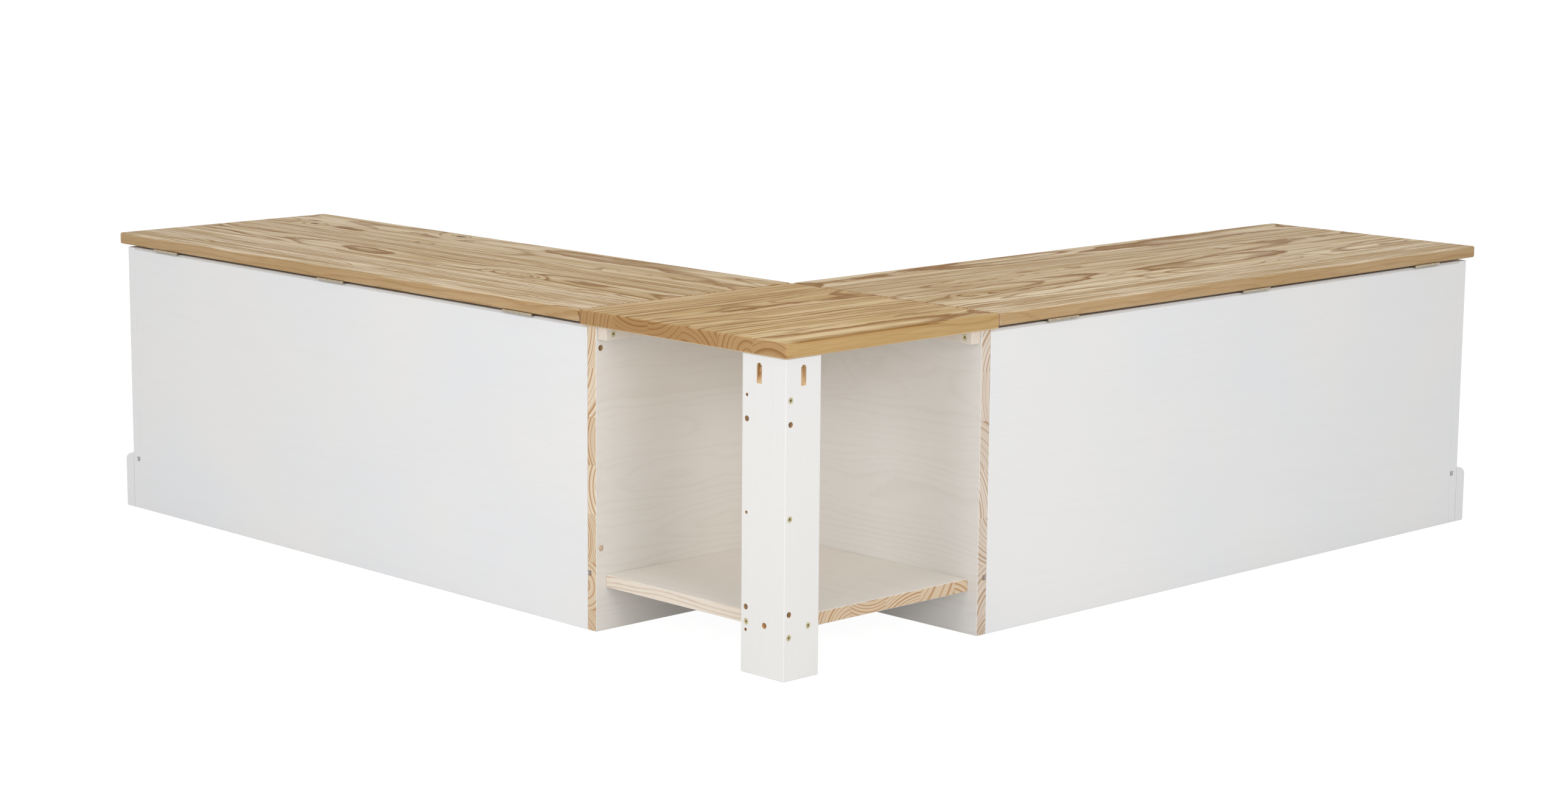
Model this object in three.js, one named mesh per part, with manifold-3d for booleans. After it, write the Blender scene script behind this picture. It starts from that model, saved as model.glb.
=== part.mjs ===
// Corner storage bench: two lidded chests that stand at a right angle, joined by a corner unit
// with a fixed top, a shelf and one leg. Millimetres, +Z up, the floor at zero.
// It is drawn with the corner of the room at the origin, the left wing along +X and the right
// wing along +Y, where left and right are as seen from the room. The finished group is then
// shifted so that its origin is the middle of its outline on the floor.
import * as THREE from "three";
import { mergeVertices } from "three/addons/utils/BufferGeometryUtils.js";
import Module from "manifold-3d";

const wasm = await Module();
wasm.setup();

// Driving sizes
const BOARD = 18; // thickness of the glued pine boards
const PANEL_HEIGHT = 430; // height of every upright board
const CORNER_SIDE = 375; // wall corner to the chests' inner ends, and the depth of a chest
const CHEST_LENGTH = 1155; // inner end to outer end of a chest, without its plinth
const CORNER_TOP_THICKNESS = 21;
const FIT = 0.3; // gap that touching pieces keep
const BOARD_EASE = 0.8; // small round on the boards' edges
const BOARD_CORNER = 1.1; // small round on the boards' upright edges

// Lids and corner top
const WALL_OVERHANG = 4; // corner top past the uprights on the wall sides
const LID_WALL_OVERHANG = 2; // lid past the back panel
const FRONT_OVERHANG = 12; // lid past the front plinth
const END_OVERHANG = 22; // lid past the outer end panel
const LID_END_GAP = 2; // between a lid and the corner top
const TOP_ROUND = 3; // round on the long edges of lids and corner top
const LID_CORNER = 5; // round on a lid's four upright corners
const CORNER_TOP_CORNER = 3.6; // the same on the corner top

// Plinths
const PLINTH_THICKNESS = 21;
const PLINTH_HEIGHT = 90;
const PLINTH_CURVE = 13; // drop of the quarter ellipse along the upper edge

// Chest bottom
const GROOVE_BASE = 78; // floor to the underside of the groove
const GROOVE_HEIGHT = 7.5;
const GROOVE_DEPTH = 8;
const BOTTOM_THICKNESS = 7;
const BOTTOM_PLAY = 1; // between the bottom's edge and the end of the groove
const BACK_CHAMFER = 3.5; // on the back panel's upper edge, beside the hinge barrels

// Dowels through the right chest's inner end panel
const DOWEL_RADIUS = 4;
const DOWEL_LENGTH = 40;
const DOWEL_BORE_SPARE = 1; // depth of a bore past the dowel's end
const UPPER_DOWEL_SUNK = 9; // depth of the dowel's end under the panel's face
const LOWER_DOWEL_SUNK = 0.6;
const DOWEL_SHARES = [0.93, 0.2745]; // heights of the upper and the lower one, of the panel's

// Hinges, three to a lid
const HINGE_LENGTH = 65;
const HINGE_INSET = 133; // lid's end to the middle of its outer hinges
const LEAF_THICKNESS = 1.2;
const LEAF_WIDTH = 15; // pin to the leaf's edge
const BARREL_RADIUS = 2;
const PIN_RADIUS = 0.9;
const PIN_CLEARANCE = 0.1;
const KNUCKLES = 5; // the first, third and fifth belong to the leaf on the chest
const LEAF_HOLE_RADIUS = 1.8;
const LEAF_HOLES = 3;

// Pads under a lid's front edge
const PAD_RADIUS = 5;
const PAD_INSET = 60; // from the front panel's ends

// Leg
const LEG_WIDTH = 64; // width of each of its two boards
const LEG_EDGE_ROW = 9; // drilled edge to its row of holes
const LEG_SCREW_SHARES = [0.872, 0.506, 0.137]; // heights of the screws in the edge row, of the leg's
const LEG_BORE_SHARES = [0.798, 0.209]; // the same for the plain bores of the dowels' size
const LEG_BORE_DEPTH = 38;
const SHELF_SCREW_ROW = 44.5; // drilled edge to the hole for the shelf's screw
const SHELF_SECOND_ROW = 10; // far edge of the right board to its own shelf screw
const POCKET_WIDTH = 9.5;
const POCKET_HEIGHT = 28;
const POCKET_MARGIN = 10; // from the pocket's round upper end to the leg's top
const POCKET_DEPTH = 10; // at its round upper end

// Shelf
const SHELF_BASE = 61;

// Battens under the corner top
const BATTEN = 18;
const BATTEN_START = 3; // from the wall-side faces
const BATTEN_END_GAP = 13.7; // from a batten's far end to the other batten
const BATTEN_SCREW_INSET = 13; // batten's end to its screw

// Screws
const HEAD_RADIUS = 4;
const HEAD_HEIGHT = 2.6;
const SHANK_RADIUS = 2;
const TIP_LENGTH = 4;
const LEG_SCREW_LENGTH = 40;
const SHELF_SCREW_LENGTH = 40;
const BATTEN_SCREW_LENGTH = 32;
const POCKET_SCREW_LENGTH = 28;
const POCKET_HEAD_RADIUS = 3.2;
const POCKET_HEAD_HEIGHT = 2.2;
const RECESS_LENGTH = 4.6;
const RECESS_WIDTH = 1.1;
const RECESS_DEPTH = 1.7;
const HOLE_SPARE = 2; // depth of a pilot hole past the screw's tip
const CUT_OVERRUN = 5; // how far a cutter stands out of what it cuts

// Steps on round shapes
const EASE_STEPS = 1;
const ROUND_STEPS = 3;
const CURVE_STEPS = 8;
const BORE_STEPS = 16;
const BARREL_STEPS = 12;

// Places that follow from the sizes above
const CHEST_DEPTH = CORNER_SIDE;
const OUTER_END = CORNER_SIDE + CHEST_LENGTH;
const POCKET_TOP = PANEL_HEIGHT - POCKET_MARGIN;
const POCKET_BASE = POCKET_TOP - POCKET_HEIGHT;
const INSIDE_START = CORNER_SIDE + BOARD;
const INSIDE_END = OUTER_END - BOARD;
const LID_GAP = 2 * LEAF_THICKNESS + 3 * FIT;
const LID_BASE = PANEL_HEIGHT + LID_GAP;
const CORNER_TOP_BASE = PANEL_HEIGHT + FIT;
const SEAT_HEIGHT = CORNER_TOP_BASE + CORNER_TOP_THICKNESS;
const BATTEN_FACE = CORNER_SIDE - FIT - BATTEN;
const BATTEN_END = BATTEN_FACE - BATTEN_END_GAP;
const TOP_REACH = CHEST_DEPTH + FIT + PLINTH_THICKNESS + FRONT_OVERHANG;
const LID_END = OUTER_END + END_OVERHANG;
const MIDDLE = (LID_END - WALL_OVERHANG) / 2;

// The pin lies under the lid's rounded back edge, so that the barrel just clears the round.
const PIN_HEIGHT = PANEL_HEIGHT + LID_GAP / 2;
const PIN_TO_ROUND = TOP_ROUND + BARREL_RADIUS + FIT;
const PIN_BACK = Math.sqrt(PIN_TO_ROUND ** 2 - (TOP_ROUND + LID_GAP / 2) ** 2)
  + LID_WALL_OVERHANG - TOP_ROUND;

const whitePine = new THREE.MeshStandardMaterial({ color: 0xe8e6e1, roughness: 0.45 });
const oiledPine = new THREE.MeshStandardMaterial({ color: 0xbd9a66, roughness: 0.5 });
const rawPine = new THREE.MeshStandardMaterial({ color: 0xe3c9a0, roughness: 0.7 });
const thinBoard = new THREE.MeshStandardMaterial({ color: 0xdedbd4, roughness: 0.5 });
const yellowZinc = new THREE.MeshStandardMaterial({ color: 0xc9a951, roughness: 0.35, metalness: 1 });
const hingeMetal = new THREE.MeshStandardMaterial({ color: 0xb9ad92, roughness: 0.35, metalness: 1 });
const clearPad = new THREE.MeshStandardMaterial({ color: 0xcfd0cc, roughness: 0.6 });

const alongX = [1, 0, 0];
const alongY = [0, 1, 0];
const upwards = [0, 0, 1];

// Geometry to solid, and back. A mirrored geometry has its triangles turned round again.
function solidOf(geometry, mirrored = false) {
  geometry.deleteAttribute("normal");
  geometry.deleteAttribute("uv");
  const merged = mergeVertices(geometry);
  const triVerts = new Uint32Array(merged.index.array);
  return new wasm.Manifold(new wasm.Mesh({
    numProp: 3,
    vertProperties: merged.attributes.position.array,
    triVerts: mirrored ? triVerts.reverse() : triVerts,
  }));
}

function geometryOf(solid) {
  const mesh = solid.getMesh();
  const geometry = new THREE.BufferGeometry();
  geometry.setAttribute("position", new THREE.BufferAttribute(mesh.vertProperties, 3));
  geometry.setIndex(new THREE.BufferAttribute(mesh.triVerts, 1));
  geometry.computeVertexNormals();
  return geometry;
}

// A named piece, its own origin in the middle of it
function addPiece(parent, name, solid, material) {
  const geometry = geometryOf(solid);
  geometry.computeBoundingBox();
  const centre = geometry.boundingBox.getCenter(new THREE.Vector3());
  geometry.translate(-centre.x, -centre.y, -centre.z);
  const mesh = new THREE.Mesh(geometry, material);
  mesh.name = name;
  mesh.position.copy(centre);
  parent.add(mesh);
}

function roundedRectangle(width, depth, corner) {
  const x = width / 2;
  const y = depth / 2;
  const outline = new THREE.Shape();
  outline.absarc(x - corner, y - corner, corner, 0, Math.PI / 2);
  outline.absarc(corner - x, y - corner, corner, Math.PI / 2, Math.PI);
  outline.absarc(corner - x, corner - y, corner, Math.PI, 3 * Math.PI / 2);
  outline.absarc(x - corner, corner - y, corner, 3 * Math.PI / 2, 2 * Math.PI);
  outline.closePath();
  return outline;
}

// A board between two opposite corners. Its flat faces meet in small rounds.
function board(from, to, ease = BOARD_EASE, corner = BOARD_CORNER, steps = EASE_STEPS) {
  const size = to.map((value, i) => Math.abs(value - from[i]));
  const middle = to.map((value, i) => (value + from[i]) / 2);
  const outline = roundedRectangle(size[0] - 2 * ease, size[1] - 2 * ease, corner - ease);
  const geometry = new THREE.ExtrudeGeometry(outline, {
    depth: size[2] - 2 * ease,
    bevelThickness: ease,
    bevelSize: ease,
    bevelSegments: steps,
    curveSegments: steps,
  });
  geometry.translate(middle[0], middle[1], middle[2] - size[2] / 2 + ease);
  return solidOf(geometry);
}

// A plain block between two opposite corners, for cutting
function block(from, to) {
  const size = to.map((value, i) => Math.abs(value - from[i]));
  const geometry = new THREE.BoxGeometry(size[0], size[1], size[2]);
  geometry.translate(...to.map((value, i) => (value + from[i]) / 2));
  return solidOf(geometry);
}

// A shape drawn in the plane of two axes and extruded along the third. The axis letters say
// where the drawing's own x, y and depth go, and start is where its own zero goes.
function extrusion(outline, length, axes, start = [0, 0, 0]) {
  const geometry = new THREE.ExtrudeGeometry(outline, {
    depth: length,
    bevelEnabled: false,
    curveSegments: CURVE_STEPS,
  });
  const unit = { x: alongX, y: alongY, z: upwards };
  const turn = new THREE.Matrix4().makeBasis(
    ...[...axes].map((letter) => new THREE.Vector3(...unit[letter])));
  geometry.applyMatrix4(turn);
  geometry.translate(...start);
  return solidOf(geometry, turn.determinant() < 0);
}

// A round bar from a point along a unit direction
function bar(start, direction, radius, length, steps = BORE_STEPS) {
  const geometry = new THREE.CylinderGeometry(radius, radius, length, steps);
  geometry.translate(0, length / 2, 0);
  geometry.applyQuaternion(new THREE.Quaternion().setFromUnitVectors(
    new THREE.Vector3(0, 1, 0), new THREE.Vector3(...direction)));
  geometry.translate(...start);
  return solidOf(geometry);
}

// Half outlines of two screws and of a screw's hole as radius and height, tip first. The rim of
// a countersunk head and the underside of a pan head are at height zero.
function countersunkScrew(length) {
  return [
    [0, -length],
    [SHANK_RADIUS, TIP_LENGTH - length],
    [SHANK_RADIUS, -HEAD_HEIGHT],
    [HEAD_RADIUS, 0],
    [0, 0],
  ];
}

function panScrew(length) {
  return [
    [0, -length],
    [SHANK_RADIUS, TIP_LENGTH - length],
    [SHANK_RADIUS, 0],
    [POCKET_HEAD_RADIUS, 0],
    [POCKET_HEAD_RADIUS, POCKET_HEAD_HEIGHT / 2],
    [SHANK_RADIUS, POCKET_HEAD_HEIGHT],
    [0, POCKET_HEAD_HEIGHT],
  ];
}

function countersunkHole(length) {
  return [
    [0, -length - HOLE_SPARE],
    [SHANK_RADIUS + FIT, -length - HOLE_SPARE],
    [SHANK_RADIUS + FIT, -HEAD_HEIGHT - FIT],
    [HEAD_RADIUS + FIT, -FIT / 2],
    [HEAD_RADIUS + FIT, CUT_OVERRUN],
    [0, CUT_OVERRUN],
  ];
}

// An outline turned about the Y axis
function turned(outline) {
  return new THREE.LatheGeometry(outline.map(([radius, y]) => new THREE.Vector2(radius, y)), BORE_STEPS);
}

// The turn that points a screw's tip along a unit direction
function aim(direction) {
  return new THREE.Quaternion().setFromUnitVectors(
    new THREE.Vector3(0, -1, 0), new THREE.Vector3(...direction));
}

// A screw as a mesh of its own, with a cross recess in the top of its head
function addScrew(parent, name, head, direction, outline) {
  const top = outline.at(-1)[1];
  const low = top - RECESS_DEPTH;
  const high = top + CUT_OVERRUN;
  const long = RECESS_LENGTH / 2;
  const narrow = RECESS_WIDTH / 2;
  const solid = solidOf(turned(outline))
    .subtract(block([-long, low, -narrow], [long, high, narrow]))
    .subtract(block([-narrow, low, -long], [narrow, high, long]));
  const mesh = new THREE.Mesh(geometryOf(solid), yellowZinc);
  mesh.name = name;
  mesh.position.set(...head);
  mesh.quaternion.copy(aim(direction));
  parent.add(mesh);
}

// The hole that a countersunk screw needs in everything it passes through
function screwHole(head, direction, length) {
  const geometry = turned(countersunkHole(length));
  geometry.applyQuaternion(aim(direction));
  geometry.translate(...head);
  return solidOf(geometry);
}

// Where a hinge's knuckles lie along its pin, the hinge's middle at zero
function knuckleSpans() {
  const length = (HINGE_LENGTH - (KNUCKLES - 1) * FIT) / KNUCKLES;
  return Array.from({ length: KNUCKLES }, (_, i) => {
    const from = -HINGE_LENGTH / 2 + i * (length + FIT);
    return [from, from + length];
  });
}

// One hinge leaf about its pin, which runs along X. The leaf reaches towards +Y, and side is
// -1 for the lower leaf on the chest or 1 for the upper leaf under the lid.
function hingeLeaf(side) {
  const half = HINGE_LENGTH / 2;
  const near = side * FIT / 2;
  const far = side * (FIT / 2 + LEAF_THICKNESS);
  let leaf = block([-half, BARREL_RADIUS + FIT, near], [half, LEAF_WIDTH, far]);
  knuckleSpans().forEach(([from, to], i) => {
    const ownedByChest = i % 2 === 0;
    if (ownedByChest === (side < 0)) {
      leaf = leaf.add(bar([from, 0, 0], alongX, BARREL_RADIUS, to - from, BARREL_STEPS));
      leaf = leaf.add(block([from, 0, near], [to, BARREL_RADIUS + LEAF_THICKNESS, far]));
    }
  });
  const boreStart = [-half - CUT_OVERRUN, 0, 0];
  const boreLength = HINGE_LENGTH + 2 * CUT_OVERRUN;
  leaf = leaf.subtract(bar(boreStart, alongX, PIN_RADIUS + PIN_CLEARANCE, boreLength, BARREL_STEPS));
  for (let i = 0; i < LEAF_HOLES; i += 1) {
    const x = HINGE_LENGTH * ((i + 1 / 2) / LEAF_HOLES - 1 / 2);
    const y = (BARREL_RADIUS + FIT + LEAF_WIDTH) / 2;
    const hole = bar([x, y, -CUT_OVERRUN], upwards, LEAF_HOLE_RADIUS, 2 * CUT_OVERRUN, BARREL_STEPS);
    leaf = leaf.subtract(hole);
  }
  return leaf;
}

function polygon(points) {
  return new THREE.Shape(points.map(([x, y]) => new THREE.Vector2(x, y)));
}

// A plinth's section, its back at zero and its face towards +X, or -X where hand is -1
function plinthOutline(hand) {
  const shoulder = PLINTH_HEIGHT - PLINTH_CURVE;
  const outline = new THREE.Shape();
  outline.moveTo(0, 0);
  outline.lineTo(PLINTH_THICKNESS, 0);
  outline.lineTo(PLINTH_THICKNESS, shoulder);
  outline.absellipse(0, shoulder, PLINTH_THICKNESS, PLINTH_CURVE, 0, Math.PI / 2);
  return polygon(outline.getPoints(CURVE_STEPS).map(({ x, y }) => [hand * x, y]));
}

// One chest, drawn with its length along the local X axis and its depth along +Y.
// hand is 1 where it runs towards +X and -1 where it runs the other way.
function addChest(bench, side, hand, turn) {
  const chest = new THREE.Group();
  chest.rotation.z = turn;
  bench.add(chest);
  const inX = (from, to) => [Math.min(hand * from, hand * to), Math.max(hand * from, hand * to)];
  const span = (make, x0, x1, y0, y1, z0, z1, ...rest) => {
    const [low, high] = inX(x0, x1);
    return make([low, y0, z0], [high, y1, z1], ...rest);
  };

  // The groove runs round the inside of the four upright panels and holds the bottom.
  const groove = span(
    block,
    INSIDE_START - GROOVE_DEPTH, INSIDE_END + GROOVE_DEPTH,
    -CUT_OVERRUN, CHEST_DEPTH + CUT_OVERRUN,
    GROOVE_BASE, GROOVE_BASE + GROOVE_HEIGHT,
  );
  const longGroove = span(
    block,
    INSIDE_START - CUT_OVERRUN, INSIDE_END + CUT_OVERRUN,
    BOARD - GROOVE_DEPTH, CHEST_DEPTH - BOARD + GROOVE_DEPTH,
    GROOVE_BASE, GROOVE_BASE + GROOVE_HEIGHT,
  );

  const endDepth = CHEST_DEPTH - FIT;
  let innerEnd = span(board, CORNER_SIDE, INSIDE_START, 0, endDepth, 0, PANEL_HEIGHT).subtract(groove);
  const outerEnd = span(board, INSIDE_END, OUTER_END, 0, endDepth, 0, PANEL_HEIGHT).subtract(groove);
  let back = span(board, INSIDE_START + FIT, INSIDE_END - FIT, 0, BOARD, 0, PANEL_HEIGHT)
    .subtract(longGroove);
  const front = span(
    board,
    INSIDE_START + FIT, INSIDE_END - FIT,
    endDepth - BOARD, endDepth,
    0, PANEL_HEIGHT,
  ).subtract(longGroove);

  // The back panel's upper edge is planed off beside the hinge barrels.
  back = back.subtract(extrusion(polygon([
    [-CUT_OVERRUN, PANEL_HEIGHT - BACK_CHAMFER - CUT_OVERRUN],
    [BACK_CHAMFER + CUT_OVERRUN, PANEL_HEIGHT + CUT_OVERRUN],
    [-CUT_OVERRUN, PANEL_HEIGHT + CUT_OVERRUN],
  ]), CHEST_LENGTH, "yzx", [inX(CORNER_SIDE, OUTER_END)[0], 0, 0]));

  // The screw that holds the shelf passes through the inner end panel from inside the chest.
  const shelfScrew = [hand * INSIDE_START, CHEST_DEPTH / 2, SHELF_BASE + BOARD / 2];
  innerEnd = innerEnd.subtract(screwHole(shelfScrew, [-hand, 0, 0], SHELF_SCREW_LENGTH));

  // The screws that hold the batten end in the inner end panel.
  battenScrewPlaces().forEach((y) => {
    const head = [hand * BATTEN_FACE, y, PANEL_HEIGHT - BATTEN / 2];
    innerEnd = innerEnd.subtract(screwHole(head, [hand, 0, 0], BATTEN_SCREW_LENGTH));
  });

  // Two dowels join the right chest's inner end panel to its back panel. Their bores are open
  // towards the corner unit, and the upper dowel is sunk deep in its bore.
  if (side === "right") {
    [["upper", UPPER_DOWEL_SUNK], ["lower", LOWER_DOWEL_SUNK]].forEach(([name, sunk], i) => {
      const height = DOWEL_SHARES[i] * PANEL_HEIGHT;
      const mouth = [hand * (CORNER_SIDE - CUT_OVERRUN), BOARD / 2, height];
      const depth = sunk + DOWEL_LENGTH + DOWEL_BORE_SPARE + CUT_OVERRUN;
      const bore = bar(mouth, [hand, 0, 0], DOWEL_RADIUS + FIT, depth);
      innerEnd = innerEnd.subtract(bore);
      back = back.subtract(bore);
      const start = [hand * (CORNER_SIDE + sunk), BOARD / 2, height];
      const dowel = bar(start, [hand, 0, 0], DOWEL_RADIUS, DOWEL_LENGTH);
      addPiece(chest, `${side}_${name}_dowel`, dowel, rawPine);
    });
  }

  addPiece(chest, `${side}_inner_end_panel`, innerEnd, whitePine);
  addPiece(chest, `${side}_outer_end_panel`, outerEnd, whitePine);
  addPiece(chest, `${side}_back_panel`, back, whitePine);
  addPiece(chest, `${side}_front_panel`, front, whitePine);

  const reach = GROOVE_DEPTH - BOTTOM_PLAY;
  const seat = GROOVE_BASE + (GROOVE_HEIGHT - BOTTOM_THICKNESS) / 2;
  addPiece(chest, `${side}_bottom_panel`, span(
    block,
    INSIDE_START - reach, INSIDE_END + reach,
    BOARD - reach, endDepth - BOARD + reach,
    seat, seat + BOTTOM_THICKNESS,
  ), thinBoard);

  // Each plinth is its section run past both ends, then cut to its mitred plan.
  const outX = OUTER_END + FIT;
  const outY = CHEST_DEPTH;
  const mitre = FIT / 2;
  const cut = (plan) => extrusion(
    polygon(plan.map(([x, y]) => [hand * x, y])), PLINTH_HEIGHT + CUT_OVERRUN, "xyz");
  const run = outX + PLINTH_THICKNESS - CORNER_SIDE;
  const runStart = [inX(CORNER_SIDE, outX + PLINTH_THICKNESS)[0], outY, 0];
  const frontPlinth = extrusion(plinthOutline(1), run, "yzx", runStart);
  addPiece(chest, `${side}_front_plinth`, frontPlinth.intersect(cut([
    [CORNER_SIDE + mitre, outY],
    [outX - mitre, outY],
    [outX + PLINTH_THICKNESS - mitre, outY + PLINTH_THICKNESS],
    [CORNER_SIDE + PLINTH_THICKNESS + mitre, outY + PLINTH_THICKNESS],
  ])), whitePine);
  const endPlinth = extrusion(
    plinthOutline(hand), CHEST_DEPTH + PLINTH_THICKNESS, "xzy", [hand * outX, 0, 0]);
  addPiece(chest, `${side}_end_plinth`, endPlinth.intersect(cut([
    [outX, 0],
    [outX + PLINTH_THICKNESS, 0],
    [outX + PLINTH_THICKNESS, outY + PLINTH_THICKNESS - mitre],
    [outX, outY - mitre],
  ])), whitePine);

  addPiece(chest, `${side}_lid`, span(
    board,
    TOP_REACH, LID_END,
    -LID_WALL_OVERHANG, TOP_REACH,
    LID_BASE, SEAT_HEIGHT,
    TOP_ROUND, LID_CORNER, ROUND_STEPS,
  ), oiledPine);

  const hingePlaces = [TOP_REACH + HINGE_INSET, (TOP_REACH + LID_END) / 2, LID_END - HINGE_INSET];
  const hingeNames = ["inner", "middle", "outer"];
  hingePlaces.forEach((x, i) => {
    const hinge = new THREE.Group();
    hinge.position.set(hand * x, -PIN_BACK, PIN_HEIGHT);
    chest.add(hinge);
    const name = `${side}_${hingeNames[i]}_hinge`;
    const pin = bar([-HINGE_LENGTH / 2, 0, 0], alongX, PIN_RADIUS, HINGE_LENGTH, BARREL_STEPS);
    addPiece(hinge, `${name}_body_leaf`, hingeLeaf(-1), hingeMetal);
    addPiece(hinge, `${name}_lid_leaf`, hingeLeaf(1), hingeMetal);
    addPiece(hinge, `${name}_pin`, pin, hingeMetal);
  });

  [["inner", INSIDE_START + PAD_INSET], ["outer", INSIDE_END - PAD_INSET]].forEach(([name, x]) => {
    const foot = [hand * x, endDepth - BOARD / 2, PANEL_HEIGHT + FIT];
    const pad = bar(foot, upwards, PAD_RADIUS, LID_GAP - 2 * FIT);
    addPiece(chest, `${side}_${name}_lid_pad`, pad, clearPad);
  });

  addScrew(chest, `${side}_shelf_screw`, shelfScrew, [-hand, 0, 0], countersunkScrew(SHELF_SCREW_LENGTH));
}

function battenScrewPlaces() {
  return [BATTEN_START + BATTEN_SCREW_INSET, BATTEN_END - BATTEN_SCREW_INSET];
}

// A milled pocket in a leg board, its foot level with the face and its round head deepest.
// across is the board's width direction and depth the way into the board, both as axis letters.
function pocket(centre, across, depth) {
  const half = POCKET_WIDTH / 2;
  const top = POCKET_TOP - half;
  const face = new THREE.Shape();
  face.moveTo(centre - half, POCKET_BASE);
  face.lineTo(centre + half, POCKET_BASE);
  face.absarc(centre, top, half, 0, Math.PI);
  face.closePath();
  const ramp = polygon([
    [0, POCKET_BASE],
    [POCKET_DEPTH, POCKET_TOP],
    [-CUT_OVERRUN, POCKET_TOP],
    [-CUT_OVERRUN, POCKET_BASE],
  ]);
  const along = (letter, distance) => ({ x: [distance, 0, 0], y: [0, distance, 0] })[letter];
  const deep = POCKET_DEPTH + 2 * CUT_OVERRUN;
  const slot = extrusion(face, deep, `${across}z${depth}`, along(depth, -CUT_OVERRUN));
  const wedge = extrusion(ramp, LEG_WIDTH, `${depth}z${across}`, along(across, centre - LEG_WIDTH / 2));
  return slot.intersect(wedge);
}

// The corner unit: a leg of two boards in the corner of the room, a shelf that meets both
// chests, and a square top on the leg, the chests' inner ends and two battens.
function addCornerUnit(bench) {
  const unit = new THREE.Group();
  bench.add(unit);
  const legEnd = BOARD + LEG_WIDTH;
  const shelfHeight = SHELF_BASE + BOARD / 2;

  // A pocket screw's head sits as high in the pocket's round end as its width lets it, and
  // clears the ramp behind it.
  const roundEnd = POCKET_WIDTH / 2;
  const pocketHead = POCKET_TOP - roundEnd
    + Math.sqrt(roundEnd ** 2 - (POCKET_HEAD_RADIUS + FIT) ** 2);
  const rampAtHead = POCKET_DEPTH * (pocketHead - POCKET_HEAD_HEIGHT - POCKET_BASE) / POCKET_HEIGHT;
  const pocketDepth = rampAtHead - POCKET_HEAD_RADIUS - 2 * FIT;

  // The left board covers the right board's edge. Both have one drilling pattern, counted from
  // their drilled edges, and only the left board's edge row holds screws.
  const edgeScrews = LEG_SCREW_SHARES.map((share) => [LEG_EDGE_ROW, 0, share * PANEL_HEIGHT]);
  const leftShelfScrew = [SHELF_SCREW_ROW, 0, shelfHeight];
  const rightShelfScrew = [0, legEnd - SHELF_SECOND_ROW, shelfHeight];
  const leftPocketScrew = [LEG_WIDTH / 2, pocketDepth, pocketHead];
  const rightPocketScrew = [pocketDepth, BOARD + LEG_WIDTH / 2, pocketHead];

  let leftBoard = board([0, 0, 0], [LEG_WIDTH, BOARD, PANEL_HEIGHT]);
  let rightBoard = board([0, BOARD + FIT, 0], [BOARD, legEnd, PANEL_HEIGHT]);
  let shelf = board(
    [BOARD + FIT, BOARD + FIT, SHELF_BASE],
    [CORNER_SIDE - FIT, CORNER_SIDE - FIT, SHELF_BASE + BOARD],
  );
  let top = board(
    [-WALL_OVERHANG, -WALL_OVERHANG, CORNER_TOP_BASE],
    [TOP_REACH - LID_END_GAP, TOP_REACH - LID_END_GAP, SEAT_HEIGHT],
    TOP_ROUND, CORNER_TOP_CORNER, ROUND_STEPS,
  );

  const through = BOARD + 2 * CUT_OVERRUN;
  const boreRun = LEG_BORE_DEPTH + CUT_OVERRUN;
  edgeScrews.forEach((head) => {
    const hole = screwHole(head, alongY, LEG_SCREW_LENGTH);
    const spare = [-CUT_OVERRUN, legEnd - LEG_EDGE_ROW, head[2]];
    leftBoard = leftBoard.subtract(hole);
    rightBoard = rightBoard.subtract(hole).subtract(bar(spare, alongX, SHANK_RADIUS + FIT, through));
  });
  LEG_BORE_SHARES.forEach((share) => {
    const z = share * PANEL_HEIGHT;
    const bore = bar([LEG_EDGE_ROW, -CUT_OVERRUN, z], alongY, DOWEL_RADIUS, boreRun);
    const spare = [-CUT_OVERRUN, legEnd - LEG_EDGE_ROW, z];
    leftBoard = leftBoard.subtract(bore);
    rightBoard = rightBoard.subtract(bore).subtract(bar(spare, alongX, DOWEL_RADIUS, through));
  });
  const leftHole = screwHole(leftShelfScrew, alongY, SHELF_SCREW_LENGTH);
  const rightHole = screwHole(rightShelfScrew, alongX, SHELF_SCREW_LENGTH);
  const emptyHole = screwHole([0, legEnd - SHELF_SCREW_ROW, shelfHeight], alongX, BOARD);
  const [leftUpHole, rightUpHole] = [leftPocketScrew, rightPocketScrew].map(
    (head) => bar(head, upwards, SHANK_RADIUS + FIT, POCKET_SCREW_LENGTH + HOLE_SPARE));
  leftBoard = leftBoard.subtract(leftHole).subtract(leftUpHole)
    .subtract(pocket(LEG_WIDTH / 2, "x", "y"));
  rightBoard = rightBoard.subtract(rightHole).subtract(rightUpHole).subtract(emptyHole)
    .subtract(pocket(BOARD + LEG_WIDTH / 2, "y", "x"));
  shelf = shelf.subtract(leftHole).subtract(rightHole);
  top = top.subtract(leftUpHole).subtract(rightUpHole);

  // Shelf screws that come through the chests' inner end panels.
  const middle = CHEST_DEPTH / 2;
  shelf = shelf.subtract(screwHole([INSIDE_START, middle, shelfHeight], [-1, 0, 0], SHELF_SCREW_LENGTH));
  shelf = shelf.subtract(screwHole([middle, INSIDE_START, shelfHeight], [0, -1, 0], SHELF_SCREW_LENGTH));

  addPiece(unit, "left_leg_board", leftBoard, whitePine);
  addPiece(unit, "right_leg_board", rightBoard, whitePine);
  addPiece(unit, "shelf", shelf, whitePine);
  addPiece(unit, "corner_top", top, oiledPine);

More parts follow.
